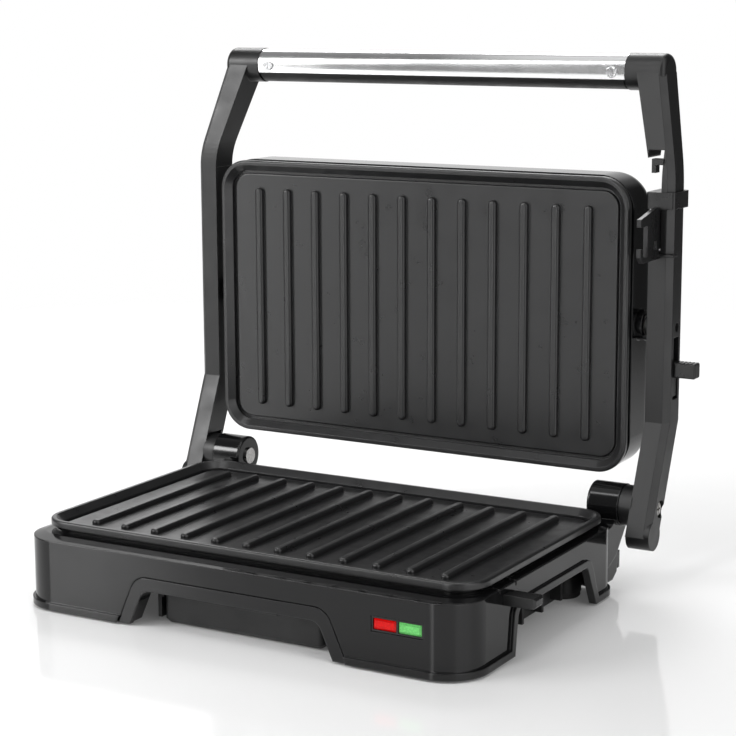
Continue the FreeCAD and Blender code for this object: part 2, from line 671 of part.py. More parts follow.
def heating_element():
    """Tubular heater clamped under a plate: a long loop with two cold ends."""
    z = PLATE_BODY_BOTTOM - HEATER_DROP
    end_x, end_y = HEATER_END
    left_run = [V(-end_x, end_y, z), V(-end_x, HEATER_HALF_DEPTH, z),
                V(-HEATER_HALF_WIDTH, HEATER_HALF_DEPTH, z),
                V(-HEATER_HALF_WIDTH, -HEATER_HALF_DEPTH, z)]
    right_run = [V(-point.x, point.y, z) for point in reversed(left_run)]
    return tube(left_run + right_run, HEATER_RADIUS, 10.0)


def heat_shield():
    """Thin steel reflector between the heater and the casing."""
    z0 = PLATE_BODY_BOTTOM - SHIELD_DROP
    sheet = slab(-97.0, 97.0, -64.0, 64.0, z0, z0 + SHIELD_THICKNESS, 8.0)
    holes = [rod_z(5.2, z0 - 1, z0 + 3, x, y) for x, y in PLATE_POSTS]
    louvres = [box(-30 + 12 * i, -24 + 12 * i, -20, 20, z0 - 1, z0 + 3) for i in range(2)]
    return cut(sheet, holes + louvres + [box(-76, -34, 46, 70, z0 - 1, z0 + 3)])


def thermostat(x, y):
    z = PLATE_BODY_BOTTOM
    cap = rod_z(7.5, z - 5.0, z, x, y)
    frame = box(x - 5, x + 5, y - 12, y + 12, z - 7.0, z - 5.0)
    return fuse([cap, frame])


def plate_screws():
    piece = screw(3.4, 2.0, 1.5, 14.0)
    return [placed(piece, V(x, y, DECK_Z[0]), X_AXIS, 180) for x, y in PLATE_POSTS]


# ---- drip tray ----------------------------------------------------------

def drip_tray():
    outer = slab(-TRAY_HALF_WIDTH, TRAY_HALF_WIDTH, TRAY_FRONT, TRAY_BACK, TRAY_BOTTOM,
                 TRAY_TOP, 3.0)
    keels = [edge for edge in outer.Edges if abs(edge.CenterOfMass.z - TRAY_BOTTOM) < 1e-6
             and abs(edge.CenterOfMass.x) > TRAY_HALF_WIDTH - 0.1]
    outer = outer.makeChamfer(2.0, keels)
    inner = slab(-TRAY_HALF_WIDTH + TRAY_WALL, TRAY_HALF_WIDTH - TRAY_WALL,
                 TRAY_FRONT + TRAY_WALL, TRAY_BACK - TRAY_WALL, TRAY_BOTTOM + TRAY_WALL,
                 TRAY_TOP + 1, 1.6)
    pull = box(-22.0, 22.0, TRAY_FRONT - 3.0, TRAY_FRONT + 0.5, TRAY_TOP - 1.4, TRAY_TOP)
    flanges = []
    for side in (-1, 1):
        x0, x1 = sorted((side * (TRAY_HALF_WIDTH - 0.2), side * TRAY_FLANGE_X))
        flanges.append(box(x0, x1, TRAY_FRONT + 4, TRAY_BACK, TRAY_TOP - 1.3, TRAY_TOP))
    return fuse([cut(outer, [inner]), pull] + flanges)


# ---- arms and handle ----------------------------------------------------

def arm_centre_y(z):
    """Middle of the arm's depth at a height up to the shoulder."""
    if z >= ARM_BEND_Z:
        return ARM_STRAIGHT_Y
    share = (z - ARM_FOOT[1]) / (ARM_BEND_Z - ARM_FOOT[1])
    return ARM_FOOT[0] + share * (ARM_STRAIGHT_Y - ARM_FOOT[0])


def arm_section(z, y, shift=0.0, half=ARM_HALF_DEPTH, growth=0.0):
    front = y - half
    back = y + half
    inner = ARM_INNER_X + shift - growth
    outer = ARM_OUTER_X + shift
    corners = [V(inner, front, z), V(outer - ARM_CHAMFER, front, z),
               V(outer, front + ARM_CHAMFER, z), V(outer, back - 2.0, z),
               V(outer - 2.0, back, z), V(inner, back, z)]
    return Part.makePolygon(corners + [corners[0]])


def bar_section(z, x0, x1, half):
    y = arm_centre_y(z)
    corners = [V(x0, y - half, z), V(x1, y - half, z), V(x1, y + half, z), V(x0, y + half, z)]
    return Part.makePolygon(corners + [corners[0]])


def bar(x0, x1, half, z0, z1):
    """Bar that follows the arm's bend between two heights."""
    heights = [z0, ARM_BEND_Z, z1] if z0 < ARM_BEND_Z < z1 else [z0, z1]
    parts = [Part.makeLoft([bar_section(a, x0, x1, half), bar_section(b, x0, x1, half)],
                           True, True) for a, b in zip(heights, heights[1:])]
    return parts[0] if len(parts) == 1 else fuse(parts)


def shoulder_heights():
    """Heights of the sections that carry the arm round its shoulder and up to the handle."""
    steps = 6
    low = ARM_SHOULDER_Z - ARM_SHOULDER_REACH
    return [low + 2 * ARM_SHOULDER_REACH * i / steps for i in range(steps + 1)] + [HANDLE_Z]


def shoulder_section(z):
    """Section above the straight run; the lean grows smoothly through the shoulder."""
    reach = ARM_SHOULDER_REACH
    above = z - ARM_SHOULDER_Z
    rise = above if above >= reach else (above + reach) ** 2 / (4 * reach)
    share = rise / (HANDLE_Z - ARM_SHOULDER_Z)
    return arm_section(z, ARM_STRAIGHT_Y + share * (HANDLE_Y - ARM_STRAIGHT_Y),
                       share * HANDLE_SHIFT_X,
                       ARM_HALF_DEPTH + share * (SOCKET_RADIUS - ARM_HALF_DEPTH),
                       share * ARM_CROWN_GROWTH)


def arm_body():
    """Right arm as a full bar, from its rounded foot to the handle socket."""
    sections = [arm_section(ARM_FOOT[1], ARM_FOOT[0]),
                arm_section(ARM_BEND_Z, ARM_STRAIGHT_Y)]
    sections += [shoulder_section(z) for z in shoulder_heights()]
    spans = [Part.makeLoft([a, b], True, True) for a, b in zip(sections, sections[1:])]
    lean = math.atan2(ARM_STRAIGHT_Y - ARM_FOOT[0], ARM_BEND_Z - ARM_FOOT[1])
    foot = rod_x(ARM_HALF_DEPTH * math.cos(lean), ARM_INNER_X, ARM_OUTER_X, *ARM_FOOT)
    crown = rod_x(SOCKET_RADIUS, ARM_INNER_X + HANDLE_SHIFT_X - ARM_CROWN_GROWTH,
                  ARM_OUTER_X + HANDLE_SHIFT_X, HANDLE_Y, HANDLE_Z)
    crown = crown.makeFillet(3.0, [edge for edge in crown.Edges
                                   if abs(edge.CenterOfMass.x - ARM_OUTER_X - HANDLE_SHIFT_X)
                                   < 1e-6])
    socket = rod_x(SOCKET_RADIUS, HANDLE_HALF_LENGTH, 127.0, HANDLE_Y, HANDLE_Z)
    return fuse(spans + [foot, crown, socket])


def arm_cavity(top):
    return bar(ARM_INNER_X - 1, ARM_OUTER_X - ARM_WALL - 0.2, ARM_HALF_DEPTH - ARM_WALL,
               CAVITY_FOOT_Z, top)


def arm_bosses():
    hinge = rod_x(HINGE_BOSS_RADIUS, KNUCKLE_OUTER_X + 0.3, ARM_INNER_X + 0.5,
                  HINGE_Y, HINGE_Z)
    pivot = rod_x(PIVOT_BOSS_RADIUS, PIVOT_BOSS_X, ARM_OUTER_X - 1.0, FLOAT_Y, FLOAT_Z)
    return [hinge, pivot]


def arm_bores():
    pin = rod_x(HINGE_PIN_RADIUS + RUNNING_CLEARANCE, 120.0, HINGE_PIN_X[1] + 0.2,
                HINGE_Y, HINGE_Z)
    shank = rod_x(2.5, 130.0, 145.0, HINGE_Y, HINGE_Z)
    head = rod_x(4.6, HEAD_SEAT_X, 145.0, HINGE_Y, HINGE_Z)
    pivot = rod_x(FLOAT_PIN_RADIUS, 120.0, 140.6, FLOAT_Y, FLOAT_Z)
    pivot_mouth = rod_x(2.4, HEAD_SEAT_X, 145.0, FLOAT_Y, FLOAT_Z)
    core = rod_x(HANDLE_RADIUS - HANDLE_WALL - 0.5, 100.0, 120.0, HANDLE_Y, HANDLE_Z)
    return [pin, shank, head, pivot, pivot_mouth, core]


def cover_seat(top):
    """Step around the cavity that the inner cover sits in."""
    return bar(ARM_INNER_X - 1, ARM_INNER_X + 2.0, ARM_HALF_DEPTH - 1.2,
               COVER_FOOT_Z - 0.2, top + 1.0)


def left_arm():
    body = cut(arm_body(), [arm_cavity(LEFT_CHANNEL_TOP), cover_seat(LEFT_CHANNEL_TOP)])
    return mirrored(cut(fuse([body] + arm_bosses()), arm_bores()))


def lock_stop():
    """Small hook in the recess that stops the lock slider."""
    x0 = ARM_INNER_X + 0.7
    bar_across = box(x0, LOCK_RECESS_X + 0.5, *STOP_Y, *STOP_Z)
    leg = box(x0, x0 + 2.2, *STOP_Y, STOP_Z[0] - 4.0, STOP_Z[0] + 0.4)
    return fuse([bar_across, leg])


def spring_seat():
    """Ledge in the channel that the return spring is hooked to."""
    return box(133.5, 141.0, 100.5, 104.2, SPRING_FOOT_Z - 1.4, SPRING_FOOT_Z - 0.05)


def right_arm():
    recess = box(ARM_INNER_X - 2, LOCK_RECESS_X, 90.0, 125.0, *LOCK_RECESS_Z)
    slot = box(138.0, 145.0, LEVER_Y - 3.4, LEVER_Y + 3.4, *LEVER_SLOT_Z)
    channel = [arm_cavity(RIGHT_CHANNEL_TOP), cover_seat(RIGHT_CHANNEL_TOP)]
    body = cut(arm_body(), channel + [recess, slot])
    solid = fuse([body, lock_stop(), spring_seat()] + arm_bosses())
    return cut(solid, arm_bores() + [detent_pocket()])


def arm_cover(top):
    """Strip that closes the arm's channel on the inner side, round the float pivot."""
    plate = bar(ARM_INNER_X, ARM_INNER_X + COVER_THICKNESS, ARM_HALF_DEPTH - 1.4,
                COVER_FOOT_Z, top + 0.8)
    boss_hole = rod_x(PIVOT_BOSS_RADIUS + 0.2, 120.0, 140.0, FLOAT_Y, FLOAT_Z)
    return cut(plate, [boss_hole])


def handle_wedge(angle):
    """Everything under the handle that lies more than this angle below the level."""
    reach = 20.0
    drop = reach * math.sin(math.radians(angle))
    side = reach * math.cos(math.radians(angle))
    return prism_x([(HANDLE_Y, HANDLE_Z), (HANDLE_Y - side, HANDLE_Z - drop),
                    (HANDLE_Y - side, HANDLE_Z - reach), (HANDLE_Y + side, HANDLE_Z - reach),
                    (HANDLE_Y + side, HANDLE_Z - drop)], -130.0, 130.0)


def handle_tube():
    outer = rod_x(HANDLE_RADIUS, -HANDLE_HALF_LENGTH + 0.2, HANDLE_HALF_LENGTH - 0.2,
                  HANDLE_Y, HANDLE_Z)
    inner = rod_x(HANDLE_RADIUS - HANDLE_WALL, -120.0, 120.0, HANDLE_Y, HANDLE_Z)
    holes = [rod_y(1.7, HANDLE_Y - 12, HANDLE_Y, x, HANDLE_Z) for x in HANDLE_SCREW_X]
    return cut(outer, [inner, handle_wedge(HANDLE_SLOT_ANGLE)] + holes)


def handle_core():
    """Plastic core; its underside fills the slot of the tube, flush with the metal."""
    core_radius = HANDLE_RADIUS - HANDLE_WALL - 0.05
    core = rod_x(core_radius, -109.0, 109.0, HANDLE_Y, HANDLE_Z)
    spigots = rod_x(HANDLE_RADIUS - HANDLE_WALL - 0.55, -119.0, 119.0, HANDLE_Y, HANDLE_Z)
    underside = rod_x(HANDLE_RADIUS - 0.1, -109.0, 109.0, HANDLE_Y, HANDLE_Z)
    underside = underside.common(handle_wedge(HANDLE_SLOT_ANGLE + 0.5))
    bore = rod_x(5.0, -120.0, 120.0, HANDLE_Y, HANDLE_Z)
    holes = [rod_y(1.3, HANDLE_Y - 12, HANDLE_Y, x, HANDLE_Z) for x in HANDLE_SCREW_X]
    return cut(fuse([core, spigots, underside]), [bore] + holes)


def handle_screws():
    piece = screw(2.9, 1.2, 1.3, 7.0)
    front = HANDLE_Y - HANDLE_RADIUS
    return group([placed(piece, V(x, front, HANDLE_Z), X_AXIS, 90) for x in HANDLE_SCREW_X])


def hinge_pin():
    """Right-hand pin, tapped for the screw that holds the arm on."""
    pin = rod_x(HINGE_PIN_RADIUS, *HINGE_PIN_X, HINGE_Y, HINGE_Z)
    return cut(pin, [rod_x(2.0, 124.0, 140.0, HINGE_Y, HINGE_Z)])


def hinge_screws():
    piece = screw(3.9, 2.0, 2.0, 15.0)
    right = placed(piece, V(139.7, HINGE_Y, HINGE_Z), Y_AXIS, 90)
    return group([right, mirrored(right)])


def hinge_washers():
    right = rod_x(4.3, HEAD_SEAT_X, HEAD_SEAT_X + 0.5, HINGE_Y, HINGE_Z).cut(
        rod_x(2.3, HEAD_SEAT_X - 1, HEAD_SEAT_X + 2, HINGE_Y, HINGE_Z))
    return group([right, mirrored(right)])


def float_pins():
    right = rod_x(FLOAT_PIN_RADIUS, 116.5, 140.4, FLOAT_Y, FLOAT_Z)
    return group([right, mirrored(right)])


def arm_lead():
    """Lead to the upper heater, in the left arm's channel."""
    points = [V(-136.0, arm_centre_y(62), 62), V(-136.0, arm_centre_y(ARM_BEND_Z), ARM_BEND_Z),
              V(-136.0, ARM_STRAIGHT_Y, 124.0)]
    return tube(points, 2.2, 20.0)


# ---- release lever ------------------------------------------------------

def release_knob():
    half = KNOB_HALF_HEIGHT
    stem = box(137.2, 144.2, LEVER_Y - 3.1, LEVER_Y + 3.1, LEVER_Z - half, LEVER_Z + half)
    grip = slab(143.2, KNOB_END_X, LEVER_Y - 3.6, LEVER_Y + 3.6, LEVER_Z - half,
                LEVER_Z + half, 0.9)
    ends = [edge for edge in grip.Edges if edge.CenterOfMass.x > KNOB_END_X - 0.1]
    grip = grip.makeChamfer(0.6, ends)
    ridges = [box(146.0 + 2 * i, 146.7 + 2 * i, LEVER_Y - 5, LEVER_Y + 5,
                  LEVER_Z + half - 0.5, LEVER_Z + half + 1) for i in range(4)]
    tail = box(140.9, 142.2, LEVER_Y - 2.8, LEVER_Y + 2.8, LEVER_Z - 14.0, LEVER_Z)
    return cut(fuse([stem, grip, tail]), ridges)


def release_rod():
    """Rod from the knob down to the detent disc on the hinge pin."""
    slope = (ARM_STRAIGHT_Y - ARM_FOOT[0]) / (ARM_BEND_Z - ARM_FOOT[1])
    foot_y = ROD_Y - (ROD_BEND_Z - ROD_FOOT_Z) * slope
    straight = box(*ROD_X, ROD_Y - ROD_HALF, ROD_Y + ROD_HALF, ROD_BEND_Z,
                   LEVER_Z + CARRIAGE_HALF)
    leg = prism_x([(foot_y - ROD_HALF, ROD_FOOT_Z), (foot_y + ROD_HALF, ROD_FOOT_Z),
                   (ROD_Y + ROD_HALF, ROD_BEND_Z), (ROD_Y - ROD_HALF, ROD_BEND_Z)], *ROD_X)
    carriage = box(ROD_X[0], ROD_X[1] + 0.2, 102.2, ROD_Y + ROD_HALF, LEVER_Z - 5.0,
                   LEVER_Z + CARRIAGE_HALF)
    return fuse([straight, leg, carriage])


def release_spring():
    return coil(2.2, 0.4, 7, SPRING_X, SPRING_Y, SPRING_FOOT_Z, LEVER_Z - 5.2)


def detent_disc():
    """Disc fixed to the hinge pin, notched for closed, upright and laid flat."""
    disc = rod_x(DETENT_RADIUS, *DETENT_X, HINGE_Y, HINGE_Z)
    through = (DETENT_X[0] - 2, DETENT_X[1] + 2)
    bore = rod_x(HINGE_PIN_RADIUS, *through, HINGE_Y, HINGE_Z)
    reach = DETENT_RADIUS + 0.2
    notches = []
    for angle in (-90, 0, 90):
        turn = math.radians(angle)
        notches.append(rod_x(1.2, *through, HINGE_Y + reach * math.sin(turn),
                             HINGE_Z + reach * math.cos(turn)))
    return cut(disc, [bore] + notches)


def detent_pocket():
    return rod_x(DETENT_RADIUS + 0.4, DETENT_X[0] - 0.3, DETENT_X[1] + 0.3, HINGE_Y, HINGE_Z)


# ---- lock slider --------------------------------------------------------

def lock_slider():
    """Collar round the right arm with a plate whose mouth takes the tab on the base."""
    clear = 0.3
    y0 = ARM_STRAIGHT_Y - ARM_HALF_DEPTH
    y1 = ARM_STRAIGHT_Y + ARM_HALF_DEPTH
    collar = slab(129.2, ARM_OUTER_X + 1.6, y0 - COLLAR_WALL, y1 + COLLAR_WALL, *COLLAR_Z, 1.6)
    arm_core = [V(LOCK_RECESS_X - clear, y0 - clear, 0),
                V(ARM_OUTER_X - ARM_CHAMFER + 0.1, y0 - clear, 0),
                V(ARM_OUTER_X + clear, y0 + ARM_CHAMFER - 0.1, 0),
                V(ARM_OUTER_X + clear, y1 + clear, 0), V(LOCK_RECESS_X - clear, y1 + clear, 0)]
    hole = Part.Face(Part.makePolygon(arm_core + [arm_core[0]])).extrude(V(0, 0, 300))
    x0, x1 = LOCK_PLATE_X
    finger_y = TAB["z"][0] + HINGE_Y - HINGE_Z - 2.9
    pocket_y = TAB["z"][1] + HINGE_Y - HINGE_Z + 0.8
    mouth_z = (HINGE_Z + HINGE_Y - TAB["y"][1] - 0.9, HINGE_Z + HINGE_Y - TAB["y"][0] + 0.9)
    bottom = mouth_z[0] - 7.2
    recess_z = LOCK_RECESS_Z[0] + 1.0
    plate = prism_x([(finger_y, bottom + 3), (finger_y + 3, bottom), (y0 - 0.6, bottom),
                     (y0 - 0.6, recess_z), (y1 - 2, recess_z), (y1 - 2, COLLAR_Z[0] + 1),
                     (y0 - 4, COLLAR_Z[0] + 1), (finger_y, 191.0)], x0, x1)
    mouth = box(x0 - 1, x1 + 1, finger_y - 1, pocket_y, *mouth_z)
    pocket = box(x0 - 1, x1 + 1, finger_y + 2.3, pocket_y, bottom + 2.6, mouth_z[1])
    window = box(x0 - 1, x1 + 1, y0 - 7.5, y0 - 4.0, bottom + 5.0, bottom + 9.5)
    strap = box(x0, ARM_OUTER_X + 1.4, y0 - 1.6, y0 - 0.4, bottom + 1.0, bottom + 2.4)
    tip = box(ARM_OUTER_X + 0.3, ARM_OUTER_X + 1.4, y0 - 1.6, y0 + 4.5, bottom + 1.0,
              bottom + 2.4)
    spring_slot = box(LEAF_X[0] - 0.1, 137.0, LEAF_Y[0] - 0.4, LEAF_Y[1] + 0.4,
                      COLLAR_Z[0] + 0.4, COLLAR_Z[1] - 0.4)
    plate = cut(plate, [mouth, pocket, window])
    return cut(fuse([cut(collar, [hole]), plate, strap, tip]), [spring_slot])


def lock_spring():
    """Steel leaf that holds the slider in place by friction."""
    return box(*LEAF_X, *LEAF_Y, COLLAR_Z[0] + 0.6, COLLAR_Z[1] - 0.6)


# ---- upper press --------------------------------------------------------

def upright_wire(half_x, half_z, y, radius):
    """Rounded rectangle facing the front, centred on the upper press."""
    z0 = UPPER_CENTRE_Z - half_z
    z1 = UPPER_CENTRE_Z + half_z
    corners = [V(-half_x, y, z0), V(half_x, y, z0), V(half_x, y, z1), V(-half_x, y, z1)]
    return rounded_wire(corners, [radius] * 4)


def housing_block(inset, front, back, fillet):
    half_x = RIM_HALF_WIDTH - inset
    half_z = RIM_HALF_DEPTH + 0.5 - inset
    wire = upright_wire(half_x, half_z, front, HOUSING_RADIUS - inset)
    block = Part.Face(wire).extrude(V(0, back - front, 0))
    rear = [edge for edge in block.Edges if abs(edge.CenterOfMass.y - back) < 1e-6]
    return block.makeFillet(fillet, rear)


def float_boss(side, radius, x_in, x_out):
    x0, x1 = sorted((side * x_in, side * x_out))
    return rod_x(radius, x0, x1, FLOAT_Y, FLOAT_Z)


def upper_housing():
    outer = housing_block(0, HOUSING_FRONT_Y, HOUSING_BACK_Y, HOUSING_BACK_FILLET)
    inner = housing_block(WALL, HOUSING_FRONT_Y - 3, HOUSING_BACK_Y - WALL,
                          HOUSING_BACK_FILLET - WALL)
    boss_shapes = [float_boss(side, FLOAT_BOSS_RADIUS, *FLOAT_BOSS_X) for side in (-1, 1)]
    boss_bores = [float_boss(side, FLOAT_BUSH_RADIUS, 110.0, 130.0) for side in (-1, 1)]
    back_recess = housing_panel(0.25, PANEL_THICKNESS + 0.05)
    vents = [box(x - 1.3, x + 1.3, 108.0, 122.0, UPPER_CENTRE_Z - 90, UPPER_CENTRE_Z - 70)
             for x in range(-HOUSING_VENT_REACH, HOUSING_VENT_REACH + 1, HOUSING_VENT_PITCH)]
    posts = [rod_y(4.2, RIM_FACE_Y + RIM_TOP - PLATE_BOSS_BOTTOM, HOUSING_BACK_Y - 1,
                   x, UPPER_CENTRE_Z + y) for x, y in PLATE_POSTS]
    pilot = [rod_y(1.8, 95.0, HOUSING_BACK_Y - 6, x, UPPER_CENTRE_Z + y)
             for x, y in PLATE_POSTS]
    counter = [rod_y(3.7, HOUSING_BACK_Y - HOUSING_SCREW_SEAT, HOUSING_BACK_Y + 1,
                     x, UPPER_CENTRE_Z + y) for x, y in PLATE_POSTS]
    body = cut(outer, [inner, back_recess] + vents)
    return cut(fuse([body] + boss_shapes + posts), boss_bores + pilot + counter)


def housing_panel(grow, depth):
    wire = upright_wire(PANEL_HALF_WIDTH + grow, PANEL_HALF_HEIGHT + grow,
                        HOUSING_BACK_Y - depth, PANEL_RADIUS)
    return Part.Face(wire).extrude(V(0, depth + 0.01, 0))


def back_panel():
    """Thin brushed-metal plate let into the top of the closed press."""
    return housing_panel(0.0, PANEL_THICKNESS)


def float_bushes():
    bore_radius = FLOAT_PIN_RADIUS + RUNNING_CLEARANCE
    return group([float_boss(side, FLOAT_BUSH_RADIUS, *FLOAT_BOSS_X).cut(
        float_boss(side, bore_radius, 110.0, 130.0)) for side in (-1, 1)])


def upper_plate_screws():
    piece = screw(3.4, 2.0, 1.5, 22.0)
    seat_y = HOUSING_BACK_Y - HOUSING_SCREW_SEAT
    return group([placed(piece, V(x, seat_y, UPPER_CENTRE_Z + y), X_AXIS, -90)
                  for x, y in PLATE_POSTS])


# ---- nodes --------------------------------------------------------------

def build_nodes():
    nodes = {}
    nodes["base_shell"] = base_shell()
    skin = base_skin()
    nodes["hinge_bracket_left"] = hinge_bracket(-1, skin)
    nodes["hinge_bracket_right"] = hinge_bracket(1, skin)
    nodes["bracket_screws"] = bracket_screws()
    nodes["lock_tab"] = lock_tab()
    nodes["front_arch_trim"] = front_arch_trim()
    nodes["base_pan"] = base_pan()
    nodes["rubber_feet"] = rubber_feet()
    nodes["base_screws"] = base_screws()
    nodes["cord_gland"] = cord_gland()
    nodes["lens_bezel"] = lens_bezel()
    nodes["red_lens"] = lens(lens_spans()[0])
    nodes["green_lens"] = lens(lens_spans()[1])
    nodes["lamp_board"] = lamp_board()
    nodes["neon_lamps"] = neon_lamps()
    nodes["terminal_block"] = terminal_block()
    nodes["base_lead"] = base_lead()
    nodes["thermal_fuse"] = thermal_fuse()
    plate = grill_plate()
    nodes["lower_grill_plate"] = plate
    nodes["lower_heating_element"] = heating_element()
    nodes["lower_heat_shield"] = heat_shield()
    nodes["lower_thermostat"] = thermostat(0, 0)
    nodes["lower_plate_screws"] = group(plate_screws())
    pin = hinge_pin()
    nodes["hinge_pin_right"] = pin
    nodes["hinge_pin_left"] = mirrored(pin)
    nodes["hinge_screws"] = hinge_screws()
    nodes["detent_disc"] = detent_disc()
    nodes["drip_tray"] = drip_tray()
    nodes["left_arm"] = left_arm()
    nodes["right_arm"] = right_arm()
    nodes["left_arm_cover"] = mirrored(arm_cover(LEFT_CHANNEL_TOP))
    nodes["right_arm_cover"] = arm_cover(RIGHT_CHANNEL_TOP)
    nodes["handle_tube"] = handle_tube()
    nodes["handle_core"] = handle_core()
    nodes["handle_screws"] = handle_screws()
    nodes["hinge_washers"] = hinge_washers()
    nodes["float_pins"] = float_pins()
    nodes["arm_lead"] = arm_lead()
    nodes["release_spring"] = release_spring()
    nodes["release_knob"] = release_knob()
    nodes["release_rod"] = release_rod()
    nodes["lock_slider"] = lock_slider()
    nodes["lock_spring"] = lock_spring()
    nodes["upper_housing"] = upper_housing()
    nodes["back_panel"] = back_panel()
    nodes["upper_grill_plate"] = to_upper(plate)
    nodes["upper_heating_element"] = to_upper(heating_element())
    nodes["upper_heat_shield"] = to_upper(heat_shield())
    nodes["upper_thermostat"] = to_upper(thermostat(0, 0))
    nodes["upper_plate_screws"] = upper_plate_screws()
    nodes["float_bushes"] = float_bushes()
    return nodes


def main():
    os.makedirs("parts", exist_ok=True)
    for name, shape in build_nodes().items():
        if not shape.isValid() or not shape.Solids:
            raise ValueError("bad shape: " + name)
        shape.exportStep(os.path.join("parts", name + ".step"))
        print(name, len(shape.Solids), round(shape.Volume, 1))


main()
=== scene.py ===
"""Finishes, rounded edges, floor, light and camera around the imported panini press."""

import math

import bpy
from mathutils import Matrix, Vector

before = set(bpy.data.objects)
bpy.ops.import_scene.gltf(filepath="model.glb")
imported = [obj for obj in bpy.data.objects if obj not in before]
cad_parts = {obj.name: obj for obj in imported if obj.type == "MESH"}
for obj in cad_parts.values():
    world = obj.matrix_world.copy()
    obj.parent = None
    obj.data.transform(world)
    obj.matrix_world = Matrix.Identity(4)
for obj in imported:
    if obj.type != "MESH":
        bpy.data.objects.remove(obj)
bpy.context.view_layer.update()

# Lengths are metres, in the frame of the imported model.
MM = 0.001
MICRON = 0.000001

# How far the surface bends round sharp edges: small metal, most plastic, the casings, the lenses.
FINE_EDGE_ROUND = 0.25 * MM
EDGE_ROUND = 0.5 * MM
CASING_EDGE_ROUND = 0.9 * MM
LENS_BORDER = 0.8 * MM
EDGE_SAMPLES = 4

# Cosine of the bend where an edge begins to show, and where it shows fully.
EDGE_BEND = (0.995, 0.85)

# The range that holds most of a noise field's values.
NOISE_MIDDLE = (0.3, 0.7)

# How far a noise pattern is drawn out along X, Y and Z.
BRUSHING = (90.0, 1.0, 1.0)
POLISHING = (120.0, 1.0, 1.0)
SMEARING = (2.0, 1.0, 1.0)
WEAVING = (3.0, 1.0, 1.0)

# Sockets of the Mix node that share their names with others.
MIX_FACTOR = 0
MIX_FLOATS = (2, 3)
MIX_FLOAT_OUT = 0
MIX_COLOURS = (6, 7)
MIX_COLOUR_OUT = 2

CAMERA_TARGET = Vector((0.02486, 0.0, 0.11977))
CAMERA_AZIMUTH = math.radians(29.99)
CAMERA_ELEVATION = math.radians(10.64)
CAMERA_ROLL = math.radians(-0.247)
CAMERA_DISTANCE = 0.99885
CAMERA_LENS = 99.65
CAMERA_SENSOR = 36.0
CAMERA_CLIP = (0.01, 50.0)

# The floor is whole near the press and fades into the white round it between two distances.
FLOOR_RADIUS = 1.6
FLOOR_FADE = (0.3, 1.0)
FLOOR_GLOW = 0.06
FLOOR_SIDES = 96

BLACK_PLASTIC = (0.0045, 0.0045, 0.0048)
SATIN_PLASTIC = (0.007, 0.007, 0.0072)
COATING_DARK = (0.009, 0.009, 0.0095)
COATING_LIGHT = (0.014, 0.014, 0.0146)
COATING_SPECK = (0.022, 0.022, 0.0226)
# The last coating colour is a highlight painted along the rounded edges.
COATING_EDGE_HIGHLIGHT = (0.04, 0.04, 0.041)
LENS_GLOW = 0.3

# Soft boxes: name, place, width and height, watts.  All of them face the middle of the press.
LIGHT_AIM = (0.0, 0.0, 0.12)
SOFT_BOXES = [
    ("key_box", (-1.1, -0.9, 0.8), (0.5, 0.5), 7.5),
    ("top_box", (0.0, -0.1, 1.7), (1.4, 1.2), 2.6),
    ("rim_box", (-0.56, 0.97, 1.12), (0.9, 0.5), 9.0),
]

# The studio round the press: degrees from straight ahead (plus is to the right), and how bright.
STUDIO_RING = [
    (-180, 0.3),
    (-165, 0.8),
    (-145, 1.0),
    (-115, 0.3),
    (-70, 0.2),
    (-44, 0.2),
    (-38.5, 8.0),
    (-34, 0.2),
    (-18, 0.15),
    (-12, 8.0),
    (-6, 0.15),
    (22, 0.15),
    (42, 0.4),
    (58, 1.9),
    (82, 1.6),
    (108, 0.3),
    (128, 0.06),
    (168, 0.06),
    (180, 0.3),
]


def rgba(colour):
    """The colour as Blender's four numbers."""
    return (*colour, 1.0)


def scaled(colour, factor):
    """The colour made lighter or darker by one factor."""
    return tuple(min(1.0, part * factor) for part in colour)


